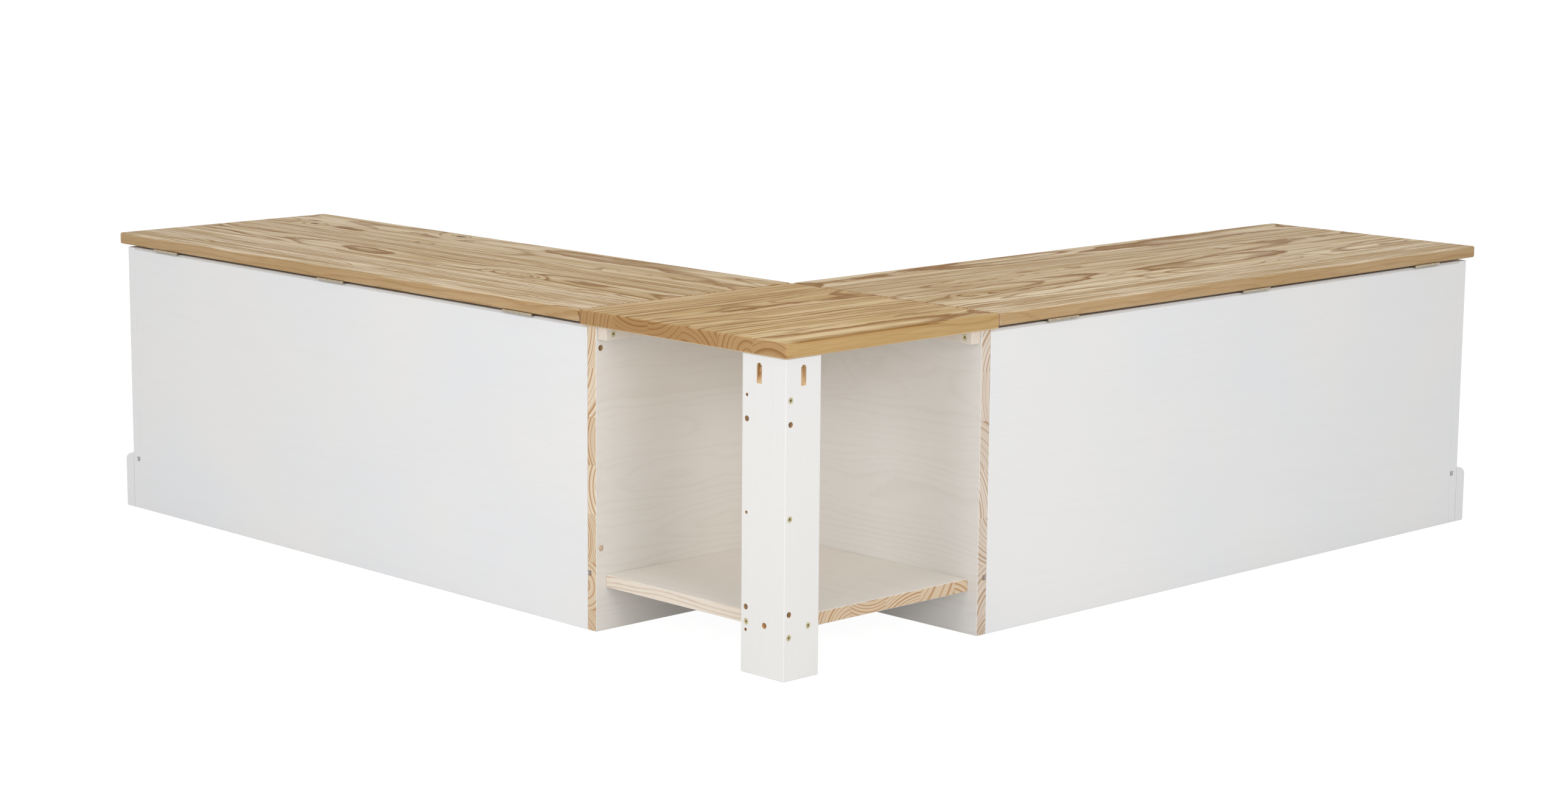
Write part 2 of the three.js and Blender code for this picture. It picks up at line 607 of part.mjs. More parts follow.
  const legScrew = countersunkScrew(LEG_SCREW_LENGTH);
  const shelfScrew = countersunkScrew(SHELF_SCREW_LENGTH);
  const pocketScrew = panScrew(POCKET_SCREW_LENGTH);
  ["upper", "middle", "lower"].forEach((name, i) => {
    addScrew(unit, `leg_${name}_screw`, edgeScrews[i], alongY, legScrew);
  });
  addScrew(unit, "leg_left_shelf_screw", leftShelfScrew, alongY, shelfScrew);
  addScrew(unit, "leg_right_shelf_screw", rightShelfScrew, alongX, shelfScrew);
  addScrew(unit, "leg_left_pocket_screw", leftPocketScrew, upwards, pocketScrew);
  addScrew(unit, "leg_right_pocket_screw", rightPocketScrew, upwards, pocketScrew);

  // A batten lies against each chest's inner end panel, right under the top.
  const near = BATTEN_FACE;
  const far = BATTEN_FACE + BATTEN;
  const battenBase = PANEL_HEIGHT - BATTEN;
  const screwHeight = PANEL_HEIGHT - BATTEN / 2;
  const battenScrew = countersunkScrew(BATTEN_SCREW_LENGTH);
  let leftBatten = board([near, BATTEN_START, battenBase], [far, BATTEN_END, PANEL_HEIGHT]);
  let rightBatten = board([BATTEN_START, near, battenBase], [BATTEN_END, far, PANEL_HEIGHT]);
  battenScrewPlaces().forEach((place, i) => {
    const end = i === 0 ? "wall" : "room";
    const leftHead = [near, place, screwHeight];
    const rightHead = [place, near, screwHeight];
    leftBatten = leftBatten.subtract(screwHole(leftHead, alongX, BATTEN_SCREW_LENGTH));
    rightBatten = rightBatten.subtract(screwHole(rightHead, alongY, BATTEN_SCREW_LENGTH));
    addScrew(unit, `left_batten_${end}_screw`, leftHead, alongX, battenScrew);
    addScrew(unit, `right_batten_${end}_screw`, rightHead, alongY, battenScrew);
  });
  addPiece(unit, "left_batten", leftBatten, whitePine);
  addPiece(unit, "right_batten", rightBatten, whitePine);
}

const bench = new THREE.Group();
bench.position.set(-MIDDLE, -MIDDLE, 0);
addChest(bench, "left", 1, 0);
addChest(bench, "right", -1, -Math.PI / 2);
addCornerUnit(bench);

export default bench;
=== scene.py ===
import math
import random

import bmesh
import bpy
from mathutils import Matrix, Vector


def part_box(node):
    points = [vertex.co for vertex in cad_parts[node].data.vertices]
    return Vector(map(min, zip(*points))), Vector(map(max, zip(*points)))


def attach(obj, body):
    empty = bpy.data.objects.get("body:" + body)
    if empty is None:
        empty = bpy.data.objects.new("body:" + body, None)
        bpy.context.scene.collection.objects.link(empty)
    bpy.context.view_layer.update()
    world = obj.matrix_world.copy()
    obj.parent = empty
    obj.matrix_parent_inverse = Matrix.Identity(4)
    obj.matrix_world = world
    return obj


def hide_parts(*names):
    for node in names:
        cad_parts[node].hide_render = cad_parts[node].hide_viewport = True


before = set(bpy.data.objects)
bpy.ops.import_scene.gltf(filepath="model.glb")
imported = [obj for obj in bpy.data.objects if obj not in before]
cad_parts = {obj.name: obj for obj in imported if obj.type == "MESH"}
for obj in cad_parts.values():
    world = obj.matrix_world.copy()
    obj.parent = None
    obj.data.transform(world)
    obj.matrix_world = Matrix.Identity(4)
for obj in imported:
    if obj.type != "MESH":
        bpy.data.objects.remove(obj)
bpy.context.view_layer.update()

# Upright panels of the two chests.
# Glued pine boards, 18 mm thick, sprayed with a thin white lacquer that lets the grain show faintly.
# The wall-side edges of the inner end panels were never sprayed, and drilled holes are bare inside.
STAVE_WIDTH = 0.0685
# The ranges of the numbers of a stave, which a colour ramp holds as shares
PITH_REACH = 0.30
SPACING_REACH = 0.02
SLOPE_REACH = 0.20
# How far the pith wanders, how long and wide its bends are, and where they begin
WANDER = 0.028
WANDER_LENGTH = 0.30
WANDER_WIDTH = 0.12
WANDER_START = 0.10
# Swirls, and how long and wide a knot's own swirl and its core are, in its radii
SWIRL_POWER = 1.4
KNOT_SWIRL = (9, 4)
KNOT_CORE = (2.6, 1.5)
KNOT_RINGS = 3.0
# How unevenly the rings follow each other, and where in a ring its latewood lies
RING_CHANCE = 1.5
RING_CHANCE_WIDTH = 2.3
RAGGED = 0.5
RAGGED_START = 0.03
LATE_ONSET = 0.76
LATE_EARLIER = 0.45
LATE_FULL = 0.90
LATE_END = 0.95
LATE_WEAKEST = 0.65
# How far the noise shifts from stave to stave for the pith, the tint and the rings, and per ring
PITH_SHIFT = 7.3
TINT_SHIFT = 5.7
STAVE_SHIFT = 9.1
RING_SHIFT = 1.7
# Strands in the wood, with their length along the grain, their width across it and their detail
RAGGED_STRANDS = (0.045, 0.0035, 2.0)
FIBRES = (0.05, 0.0012, 3.0)
STREAKS = (0.25, 0.012, 2.0)
THREADS = (0.16, 0.0028, 3.0)
# The coat's depth, the round of the boards' edges, and where the paint of an edge ends
SKIN = 0.00012
EASED = 0.0009
PAINT_EDGE = (0.0001, 0.0008)
LACQUER = (0.815, 0.81, 0.80)
LACQUER_COOL = (0.795, 0.80, 0.812)
# A darker, warmer coat, painted in as the shade and warm bounce light inside the corner space
LACQUER_IN_PAINTED_SHADE = (0.77, 0.72, 0.65)
LACQUER_PATCH = 0.35
LACQUER_ROUGHNESS = 0.40
LACQUER_RELIEF = 0.00004
LATEWOOD_DARKENS = (0.91, 0.885, 0.85)
RAW_CREAM = ((0.77, 0.65, 0.495), (0.68, 0.54, 0.38), (0.45, 0.22, 0.075))
RAW_PINKISH = ((0.74, 0.65, 0.56), (0.66, 0.56, 0.465), (0.42, 0.255, 0.14))
RAW_FIBRE = 0.12
RAW_ROUGHER = 0.3
STREAK_ROUGHER = 0.08
DRILLED = (0.66, 0.47, 0.27)
PANEL_STAVES = 7
OUTER_END_SEAM = -0.02
OUTER_END_DRAW = 3
LONG_PANEL_SEAM = -0.03

# Staves from the floor up. For each, the pith's place from the middle of the stave and of the
# board's thickness, the spacing of the rings, and how far the pith climbs along the board.
INNER_END_SEAM = {"left": -0.039, "right": -0.0393}
INNER_END_STAVES = {
    "left": (
        (-0.030, 0.050, 0.0050, 0.01), (-0.050, 0.045, 0.0080, 0.02), (0.055, 0.045, 0.0062, -0.02),
        (-0.040, -0.110, 0.0050, 0.01), (-0.060, -0.050, 0.0105, 0.02), (0.010, 0.140, 0.0027, 0.01),
        (-0.045, 0.075, 0.0068, 0.02)),
    "right": (
        (-0.045, 0.050, 0.0040, 0.01), (0.000, 0.014, 0.0092, 0.02), (-0.004, 0.056, 0.0038, 0.01),
        (0.006, -0.060, 0.0072, -0.02), (0.002, -0.058, 0.0066, 0.01), (0.050, 0.085, 0.0080, 0.02),
        (0.030, 0.120, 0.0045, 0.01)),
}


def add_node(tree, kind, inputs=(), **settings):
    made = tree.nodes.new(kind)
    for name, value in settings.items():
        setattr(made, name, value)
    for key, value in dict(inputs).items():
        if isinstance(value, bpy.types.NodeSocket):
            tree.links.new(value, made.inputs[key])
        else:
            made.inputs[key].default_value = value
    return made


def calc(tree, operation, *values):
    return add_node(tree, "ShaderNodeMath", enumerate(values), operation=operation).outputs[0]


def between(tree, value, low, high):
    """0 below low, 1 above high and a soft step between them, or the other way where low is higher"""
    limits = {"Value": value, "From Min": low, "From Max": high}
    return add_node(tree, "ShaderNodeMapRange", limits, interpolation_type="SMOOTHSTEP").outputs[0]


def mixed(tree, share, first, second, kind="MIX"):
    """One colour laid over another. A colour is three numbers or a socket."""
    colours = {0: share}
    for key, colour in ((6, first), (7, second)):
        colours[key] = colour if isinstance(colour, bpy.types.NodeSocket) else (*colour, 1)
    return add_node(tree, "ShaderNodeMix", colours, data_type="RGBA", blend_type=kind).outputs[2]


def combined(tree, x, y, z):
    return add_node(tree, "ShaderNodeCombineXYZ", {0: x, 1: y, 2: z}).outputs[0]


def separated(tree, vector):
    return add_node(tree, "ShaderNodeSeparateXYZ", {0: vector}).outputs


def length_of(tree, vector):
    return add_node(tree, "ShaderNodeVectorMath", {0: vector}, operation="LENGTH").outputs["Value"]


def cloud(tree, vector, detail=2.0, roughness=0.5):
    """Noise with features about one unit wide, as a value and as a colour"""
    settings = {"Vector": vector, "Scale": 1.0, "Detail": detail, "Roughness": roughness}
    return add_node(tree, "ShaderNodeTexNoise", settings).outputs


def object_place(tree):
    """The point's own x, y and z in the bench's frame, in metres"""
    position = add_node(tree, "ShaderNodeTexCoord").outputs["Object"]
    return dict(zip("xyz", separated(tree, position)))


def cloud_about(tree, place, size, detail=2.0, roughness=0.5):
    """Noise with features of one size in metres"""
    vector = combined(tree, *(calc(tree, "DIVIDE", place[letter], size) for letter in "xyz"))
    return cloud(tree, vector, detail, roughness)[0]


def strands(tree, grain, length, width, detail):
    """Noise drawn out along the grain, which is the places along, across and through the wood"""
    along, across, through = grain
    return cloud(tree, combined(
        tree, calc(tree, "DIVIDE", along, length),
        calc(tree, "DIVIDE", across, width),
        calc(tree, "DIVIDE", through, width)), detail, 0.6)[0]


def drawn_staves(seed, count):
    """Piths for a board that shows no end grain"""
    chance = random.Random(seed)
    return tuple((
        chance.uniform(-0.04, 0.04), chance.choice((-1, 1)) * chance.uniform(0.03, 0.09),
        chance.uniform(0.0045, 0.0085), chance.choice((-1, 1)) * chance.uniform(0.01, 0.03),
    ) for _ in range(count))


def grown_pine(tree, node, axes, seam, staves, swirls=(), knots=()):
    """Rings, knots, fibre and streaks of a board. axes names the letters along the grain, across
    the staves and through the board, and seam is the lower side of the first stave. A swirl is a
    stave's number, a place along and across, its half length and half width, and the rings it
    adds. A knot is a stave's number, a place along and across, and its radius."""
    low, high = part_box(node)
    start = low["xyz".index(axes[0])]
    middle = (low["xyz".index(axes[2])] + high["xyz".index(axes[2])]) / 2
    place = object_place(tree)
    grain = [place[letter] for letter in axes]
    along, across, through = grain
    count = calc(tree, "FLOOR", calc(tree, "DIVIDE", calc(tree, "SUBTRACT", across, seam), STAVE_WIDTH))
    number = calc(tree, "MINIMUM", calc(tree, "MAXIMUM", count, 0.0), len(staves) - 1.0)
    share = calc(tree, "DIVIDE", calc(tree, "ADD", number, 0.5), float(len(staves)))
    table = add_node(tree, "ShaderNodeValToRGB", {0: share})
    table.color_ramp.interpolation = "CONSTANT"
    stops = table.color_ramp.elements
    stops.remove(stops[1])
    for index, (sideways, deep, spacing, slope) in enumerate(staves):
        stop = stops[0] if index == 0 else stops.new(index / len(staves))
        stop.color = (0.5 + sideways / PITH_REACH, 0.5 + deep / PITH_REACH,
                      spacing / SPACING_REACH, 0.5 + slope / SLOPE_REACH)
    sideways, deep, spacing = separated(tree, table.outputs[0])
    spacing = calc(tree, "MULTIPLY", spacing, SPACING_REACH)
    sideways, deep, slope = (
        calc(tree, "MULTIPLY", calc(tree, "SUBTRACT", value, 0.5), reach)
        for value, reach in ((sideways, PITH_REACH), (deep, PITH_REACH), (table.outputs[1], SLOPE_REACH)))

    # The pith keeps its place at the wall-side end and wanders from there on.
    gone = calc(tree, "SUBTRACT", along, start)
    inward = calc(tree, "MINIMUM", gone, calc(tree, "SUBTRACT", high["xyz".index(axes[0])], along))
    wander = calc(tree, "MULTIPLY", between(tree, gone, 0.0, WANDER_START), WANDER)
    drift = separated(tree, cloud(tree, combined(
        tree, calc(tree, "MULTIPLY_ADD", number, PITH_SHIFT, calc(tree, "DIVIDE", along, WANDER_LENGTH)),
        calc(tree, "DIVIDE", across, WANDER_WIDTH),
        calc(tree, "DIVIDE", through, WANDER_WIDTH)), 2.0, 0.5)["Color"])
    drift = [calc(tree, "MULTIPLY", calc(tree, "SUBTRACT", value, 0.5), wander) for value in drift]
    own_middle = calc(tree, "MULTIPLY_ADD", calc(tree, "ADD", number, 0.5), STAVE_WIDTH, seam)
    off = calc(tree, "SUBTRACT", calc(tree, "SUBTRACT", across, own_middle), sideways)
    away = calc(tree, "SUBTRACT", calc(tree, "SUBTRACT", through, middle), deep)
    off = calc(tree, "ADD", off, drift[0])
    away = calc(tree, "ADD", calc(tree, "MULTIPLY_ADD", slope, gone, away), drift[1])
    rings = calc(tree, "DIVIDE", length_of(tree, combined(tree, off, away, 0.0)), spacing)

    def nearness(stave, at_along, at_across, half_length, half_width):
        """1 at a place on one stave, falling like a cone to 0 at an ellipse about it"""
        gap = length_of(tree, combined(
            tree, calc(tree, "DIVIDE", calc(tree, "SUBTRACT", along, at_along), half_length),
            calc(tree, "DIVIDE", calc(tree, "SUBTRACT", across, at_across), half_width), 0.0))
        cone = calc(tree, "POWER", calc(tree, "MAXIMUM", calc(tree, "SUBTRACT", 1.0, gap), 0.0), SWIRL_POWER)
        return calc(tree, "MULTIPLY", cone, calc(tree, "COMPARE", number, float(stave), 0.5))

    for *spot, more in swirls:
        rings = calc(tree, "MULTIPLY_ADD", nearness(*spot), float(more), rings)
    knotted = 0.0
    for stave, at_along, at_across, size in knots:
        about, core = (
            nearness(stave, at_along, at_across, long * size, wide * size)
            for long, wide in (KNOT_SWIRL, KNOT_CORE))
        rings = calc(tree, "MULTIPLY_ADD", about, KNOT_RINGS, rings)
        knotted = calc(tree, "MAXIMUM", knotted, between(tree, core, 0.25, 0.6))
    uneven = cloud(tree, combined(tree, calc(tree, "DIVIDE", rings, RING_CHANCE_WIDTH), number, 0.0), 1.0)[0]

    # Each ring has a latewood of its own width and strength, soft towards the pith.
    growth = calc(tree, "MULTIPLY_ADD", uneven, RING_CHANCE, rings)
    ragged = calc(tree, "MULTIPLY", between(tree, inward, 0.0, RAGGED_START), RAGGED)
    growth = calc(tree, "MULTIPLY_ADD", strands(tree, grain, *RAGGED_STRANDS), ragged, growth)
    turn = calc(tree, "FRACT", growth)
    shift = calc(tree, "MULTIPLY", number, STAVE_SHIFT)
    year = calc(tree, "MULTIPLY_ADD", calc(tree, "FLOOR", growth), RING_SHIFT, shift)
    fortune = between(tree, cloud(tree, combined(tree, year, middle, 0.0), 0.0)[0], 0.3, 0.7)
    onset = calc(tree, "MULTIPLY_ADD", fortune, -LATE_EARLIER, LATE_ONSET)
    band = calc(tree, "MULTIPLY", between(tree, turn, onset, LATE_FULL), between(tree, turn, 1.0, LATE_END))
    strength = calc(tree, "MULTIPLY_ADD", fortune, 1 - LATE_WEAKEST, LATE_WEAKEST)

    return {
        "place": place, "knot": knotted,
        "late": calc(tree, "MULTIPLY", band, strength),
        "tint": cloud(tree, combined(tree, calc(tree, "MULTIPLY", number, TINT_SHIFT), middle, 0.0))[0],
        "fibre": strands(tree, grain, *FIBRES),
        "streak": strands(tree, grain, *STREAKS),
        "thread": strands(tree, grain, *THREADS),
    }


def finished_material(name, roughness, metallic=0.0):
    """A material with one Principled shader, whose tree the caller fills"""
    material = bpy.data.materials.new(name)
    material.use_nodes = True
    shader = material.node_tree.nodes["Principled BSDF"]
    shader.inputs["Roughness"].default_value = roughness
    shader.inputs["Metallic"].default_value = metallic
    return material, material.node_tree, shader


def raised(tree, shader, height, depth):
    """Relief of a given depth in metres"""
    bump = add_node(tree, "ShaderNodeBump", {"Strength": 1.0, "Distance": depth, "Height": height})
    tree.links.new(bump.outputs[0], shader.inputs["Normal"])


def under_sides(tree, place, node):
    """How deep a point is under each side of a node's box, a side being a letter and + or - for
    the higher or the lower one, and for each letter under the nearer of its two sides"""
    sides = {}
    for letter, start, end in zip("xyz", *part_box(node)):
        sides[letter + "-"] = calc(tree, "SUBTRACT", place[letter], start)
        sides[letter + "+"] = calc(tree, "SUBTRACT", end, place[letter])
    nearer = {letter: calc(tree, "MINIMUM", sides[letter + "-"], sides[letter + "+"]) for letter in "xyz"}
    return sides, nearer


def lacquered_pine(node, axes, seam, staves, bare=(), raw=RAW_CREAM, painted_shading=0.0, tone=LACQUER_IN_PAINTED_SHADE, show=0.08,
                   drilled=False):
    """White lacquer on pine, with bare wood in all holes where it was drilled. bare pairs a side
    with how bare it was left. raw is the bare wood's two tints and its latewood, painted_shading how far
    the coat leans to tone, a colour that paints in the shade or the light where the part stands, and show
    how strongly the grain shows through."""
    material, tree, shader = finished_material(f"lacquered_{node}", LACQUER_ROUGHNESS)
    wood = grown_pine(tree, node, axes, seam, staves)
    sides, near = under_sides(tree, wood["place"], node)

    # Painted skin is on the box's faces, or on the eased edges, where two faces are near.
    hole = 0.0
    if drilled:
        closer = calc(tree, "MINIMUM", near["x"], near["y"])
        least = calc(tree, "MINIMUM", closer, near["z"])
        wider = calc(tree, "MINIMUM", calc(tree, "MAXIMUM", near["x"], near["y"]), near["z"])
        second = calc(tree, "MAXIMUM", closer, wider)
        past_skin = calc(tree, "GREATER_THAN", least, SKIN)
        hole = calc(tree, "MULTIPLY", past_skin, calc(tree, "GREATER_THAN", second, EASED))

    unpainted = 0.0
    for side, rawness in bare:
        inside = calc(tree, "MINIMUM", *(near[letter] for letter in "xyz" if letter != side[0]))
        on_side = calc(tree, "LESS_THAN", sides[side], EASED)
        edge = calc(tree, "MULTIPLY", between(tree, inside, *PAINT_EDGE), on_side)
        unpainted = calc(tree, "MAXIMUM", unpainted, calc(tree, "MULTIPLY", edge, rawness))

    patch = between(tree, cloud_about(tree, wood["place"], LACQUER_PATCH), 0.4, 0.65)
    # The coat leans towards tone by a share, which paints in the shade, or on the shelf the light, that the
    # part gets where it stands.
    lacquer = mixed(tree, painted_shading, mixed(tree, patch, LACQUER, LACQUER_COOL), tone)
    line = wood["late"]
    for figure in (line, wood["streak"]):
        lacquer = mixed(tree, calc(tree, "MULTIPLY", figure, show), lacquer, LATEWOOD_DARKENS, "MULTIPLY")
    first_tint, second_tint, dark = raw
    pine = mixed(tree, between(tree, wood["tint"], 0.35, 0.65), first_tint, second_tint)
    pine = mixed(tree, line, pine, dark)
    pine = mixed(tree, calc(tree, "MULTIPLY", wood["fibre"], RAW_FIBRE), pine, dark)
    colour = mixed(tree, unpainted, lacquer, pine)
    colour = mixed(tree, hole, colour, mixed(tree, line, DRILLED, dark))
    tree.links.new(colour, shader.inputs["Base Color"])
    raw_wood = calc(tree, "MAXIMUM", unpainted, hole)
    rough = calc(tree, "MULTIPLY_ADD", raw_wood, RAW_ROUGHER, LACQUER_ROUGHNESS)
    rough = calc(tree, "MULTIPLY_ADD", wood["streak"], STREAK_ROUGHER, rough)
    tree.links.new(rough, shader.inputs["Roughness"])
    raised(tree, shader, calc(tree, "ADD", line, wood["fibre"]), LACQUER_RELIEF)
    return material


def dress(node, material):
    """A CAD node keeps its shape and gets this finish."""
    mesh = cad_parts[node].data
    mesh.materials.clear()
    mesh.materials.append(material)


# The last number paints the inner end panels' coat darker and warmer, as the shade and warm bounce light of
# the corner space.
for side, along, across, raw, painted_shading in (
        ("left", "x", "y", RAW_PINKISH, 0.4), ("right", "y", "x", RAW_CREAM, 0.65)):
    upright = across + "z" + along
    node = f"{side}_inner_end_panel"
    dress(node, lacquered_pine(
        node, upright, INNER_END_SEAM[side], INNER_END_STAVES[side], ((across + "-", 1.0),), raw, painted_shading,
        show=0.35, drilled=True))
    node = f"{side}_outer_end_panel"
    dress(node, lacquered_pine(node, upright, OUTER_END_SEAM, drawn_staves(OUTER_END_DRAW, PANEL_STAVES)))
    for where in ("back", "front"):
        node = f"{side}_{where}_panel"
        staves = drawn_staves(node, PANEL_STAVES)
        dress(node, lacquered_pine(node, along + "z" + across, LONG_PANEL_SEAM, staves))

# Chest bottoms.
# A thin board lies loose in a groove all round. It is coated white like the panels.
BOTTOM_SEAM = -0.776
BOTTOM_STAVES = 6
BOTTOM_DRAW = 31
for side, along, across in (("left", "x", "y"), ("right", "y", "x")):
    node = f"{side}_bottom_panel"
    staves = drawn_staves(BOTTOM_DRAW, BOTTOM_STAVES)
    dress(node, lacquered_pine(node, along + across + "z", BOTTOM_SEAM, staves))

# Dowels of the right chest.
# Two beech dowels in the inner end panel, their ends broken. The lower one is flush with the
# panel, the upper one sits deep in its hole.
BEECH = (0.70, 0.545, 0.385)
BEECH_FLECK = (0.56, 0.39, 0.24)
BEECH_STRANDS = (0.004, 0.0006, 3.0)
BEECH_ROUGHNESS = 0.65
BEECH_RELIEF = 0.0001
DOWEL_BREAK = 0.0004
DOWEL_STEPS = 40
SHARP_ANGLE = 35


def beech(name, axes):
    material, tree, shader = finished_material(name, BEECH_ROUGHNESS)
    place = object_place(tree)
    fleck = strands(tree, [place[letter] for letter in axes], *BEECH_STRANDS)
    colour = mixed(tree, between(tree, fleck, 0.4, 0.7), BEECH, BEECH_FLECK)
    tree.links.new(colour, shader.inputs["Base Color"])
    raised(tree, shader, fleck, BEECH_RELIEF)
    return material


def spin(form, outline, steps):
    """The shell that an outline of radii and heights sweeps about Z"""
    corners = [form.verts.new((radius, 0, height)) for radius, height in outline]
    edges = [form.edges.new(pair) for pair in zip(corners, corners[1:])]
    bmesh.ops.spin(form, geom=corners + edges, cent=(0, 0, 0), axis=(0, 0, 1),
                   angle=2 * math.pi, steps=steps, use_merge=True)
    bmesh.ops.remove_doubles(form, verts=form.verts, dist=1e-7)


def built(name, form, materials, body, replaced=None):
    """A piece of a finished form, its flat and round faces told apart by the angle between them"""
    bmesh.ops.recalc_face_normals(form, faces=form.faces)
    for face in form.faces:
        face.smooth = True
    mesh = bpy.data.meshes.new(name)
    form.to_mesh(mesh)
    form.free()
    mesh.set_sharp_from_angle(angle=math.radians(SHARP_ANGLE))
    for material in materials:
        mesh.materials.append(material)
    piece = bpy.data.objects.new(name, mesh)
    bpy.context.scene.collection.objects.link(piece)
    if replaced:
        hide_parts(replaced)
    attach(piece, body)
    return piece


def standing(form, top, outward):
    """Turns a form from Z to an outward direction and sets its zero at a point."""
    turn = Vector((0, 0, 1)).rotation_difference(Vector(outward)).to_matrix().to_4x4()
    bmesh.ops.transform(form, matrix=Matrix.Translation(top) @ turn, verts=form.verts)


dowel_beech = beech("dowel_beech", "yxz")
for name in ("upper", "lower"):
    node = f"right_{name}_dowel"
    low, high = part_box(node)
    radius = (high.z - low.z) / 2
    length = high.y - low.y
    form = bmesh.new()
    spin(form, (
        (0, 0), (radius - DOWEL_BREAK, 0), (radius, -DOWEL_BREAK),
        (radius, DOWEL_BREAK - length), (radius - DOWEL_BREAK, -length), (0, -length)), DOWEL_STEPS)
    standing(form, ((low.x + high.x) / 2, low.y, (low.z + high.z) / 2), (0, -1, 0))
    built(f"{node}_round", form, (dowel_beech,), "bench", node)

# Plinths.
# A skirting with a rounded upper edge runs round each chest's front and outer end, mitred where
# two of them meet. It is pine too, with the same lacquer.
PLINTH_CURVE = 0.013
PLINTH_STEPS = 20
PLINTH_SEAM = -0.01
PLINTH_STAVES = 2
for side, along, across in (("left", 0, 1), ("right", 1, 0)):
    for piece, (run, depth) in (("front_plinth", (along, across)), ("end_plinth", (across, along))):
        node = f"{side}_{piece}"
        low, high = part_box(node)
        thick = high[depth] - low[depth]
        outline = [(0, low.z), (thick, low.z)]
        for step in range(PLINTH_STEPS + 1):
            turn = math.pi / 2 * step / PLINTH_STEPS
            outline.append((thick * math.cos(turn), high.z - PLINTH_CURVE * (1 - math.sin(turn))))
        form = bmesh.new()
        corners = []
        for reach, height in outline:
            spot = Vector((0, 0, height))
            spot[run] = low[run] + (reach if piece == "front_plinth" else 0)
            spot[depth] = low[depth] + reach
            corners.append(form.verts.new(spot))
        drawn = bmesh.ops.extrude_face_region(form, geom=[form.faces.new(corners)])["geom"]
        for corner in (item for item in drawn if isinstance(item, bmesh.types.BMVert)):
            corner.co[run] = high[run] - thick + corner.co[depth] - low[depth]
        axes = "xyz"[run] + "z" + "xyz"[depth]
        wood = lacquered_pine(node, axes, PLINTH_SEAM, drawn_staves(node, PLINTH_STAVES))
        built(f"{node}_moulded", form, (wood,), "bench", node)

# Leg.
# Two boards in a corner joint, with all their drill holes and a milled pocket each. Their grain
# stands upright. Paint nearly fills the groove between their eased edges.
LEG_BOARDS = (("left_leg_board", "zxy", -0.776), ("right_leg_board", "zyx", -0.758))
JOINT_PAINT_SUNK = 0.0001
JOINT_PAINT_HALF = 0.00105
JOINT_PAINT_DEPTH = 0.0010
# Both leg boards lean a little towards the lacquer's painted shade tone.
for node, axes, seam in LEG_BOARDS:
    dress(node, lacquered_pine(node, axes, seam, drawn_staves(node, 1), painted_shading=0.2, show=0.04, drilled=True))
low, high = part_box("right_leg_board")
front = low.x + JOINT_PAINT_SUNK
bottom = low.z + EASED
form = bmesh.new()
corners = [form.verts.new(place) for place in (
    (front, low.y - JOINT_PAINT_HALF, bottom), (front, low.y + JOINT_PAINT_HALF, bottom),
    (front + JOINT_PAINT_DEPTH, low.y, bottom))]
foot = form.faces.new(corners)
bead = bmesh.ops.extrude_face_region(form, geom=[foot])["geom"]
bmesh.ops.translate(form, vec=(0, 0, high.z - JOINT_PAINT_SUNK - bottom),
                    verts=[item for item in bead if isinstance(item, bmesh.types.BMVert)])
leg_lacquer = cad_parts["right_leg_board"].data.materials[0]
built("leg_joint_paint", form, (leg_lacquer,), "bench")

# Shelf.
# Its two wall-side edges are sawn, the end grain left bare and the long grain with a thin coat.
# It stands on screws in the leg and in both chests.
SHELF_STAVES = (
    (0.020, 0.075, 0.0066, 0.01), (0.035, -0.028, 0.0060, 0.01), (0.008, 0.070, 0.0048, 0.01),
    (0.034, -0.110, 0.0046, 0.02), (-0.090, 0.065, 0.0130, 0.01), (-0.050, -0.055, 0.0070, 0.01))
SHELF_SEAM = -0.7685
# A paler, warmer coat tone for the shelf: painted light for the light that falls on its top.
SHELF_PAINTED_LIGHT_TONE = (0.90, 0.865, 0.81)
SHELF_BARE = (("x-", 0.55), ("y-", 1.0))
# The shelf's coat leans most of the way to the painted light tone.
dress("shelf", lacquered_pine(
    "shelf", "yxz", SHELF_SEAM, SHELF_STAVES, SHELF_BARE, painted_shading=0.9, tone=SHELF_PAINTED_LIGHT_TONE, show=0.25,
    drilled=True))

# Battens.
# Two square strips under the corner top, screwed to the chests' inner end panels. Their spray coat
# is thin on the ends, so that the rings show there.
BATTEN_STAVE = ((0.030, 0.030, 0.0040, 0.01),)
BATTEN_SEAM = 0.38
# The battens' coat leans most of the way to the lacquer's painted shade tone, for the shade under the corner
# top.
for side, along, across in (("left", "y", "x"), ("right", "x", "y")):
    node = f"{side}_batten"
    dress(node, lacquered_pine(
        node, along + "z" + across, BATTEN_SEAM, BATTEN_STAVE, ((along + "-", 0.3),), painted_shading=0.9, show=0.3,
        drilled=True))

# Lids.
# Solid pine boards, oiled a pale honey brown, all their edges rounded over. The grain runs along
# them, with swirls and a few knots.
# under is a painted shade on the lids' lower rounded edges and undersides.
LID_COLOURS = {
    "pale": (0.79, 0.66, 0.475), "honey": (0.44, 0.30, 0.135), "latewood": (0.235, 0.105, 0.015),
    "edge": (0.49, 0.32, 0.16), "under": (0.36, 0.22, 0.105)}
END_DARKENED = (0.81, 0.70, 0.66)
KNOT = (0.10, 0.05, 0.03)
# How strongly the tint, the streaks, the threads, the fibre, the edges and the underside's painted shading
# colour
TINTED = 0.5
STREAKY = 0.8
THREADY = 0.4
FIBROUS = 0.18
RIM_TINTED = 0.85
LOWER_EDGE_SHADING = 0.6
OIL_ROUGHNESS = 0.45
OIL_SPECULAR = 0.05
OIL_STREAKED = 0.14
OIL_RELIEF = 0.00008
EDGE_ROUND = 0.003
LID_CORNER = 0.005
ROUND_STEPS = 6
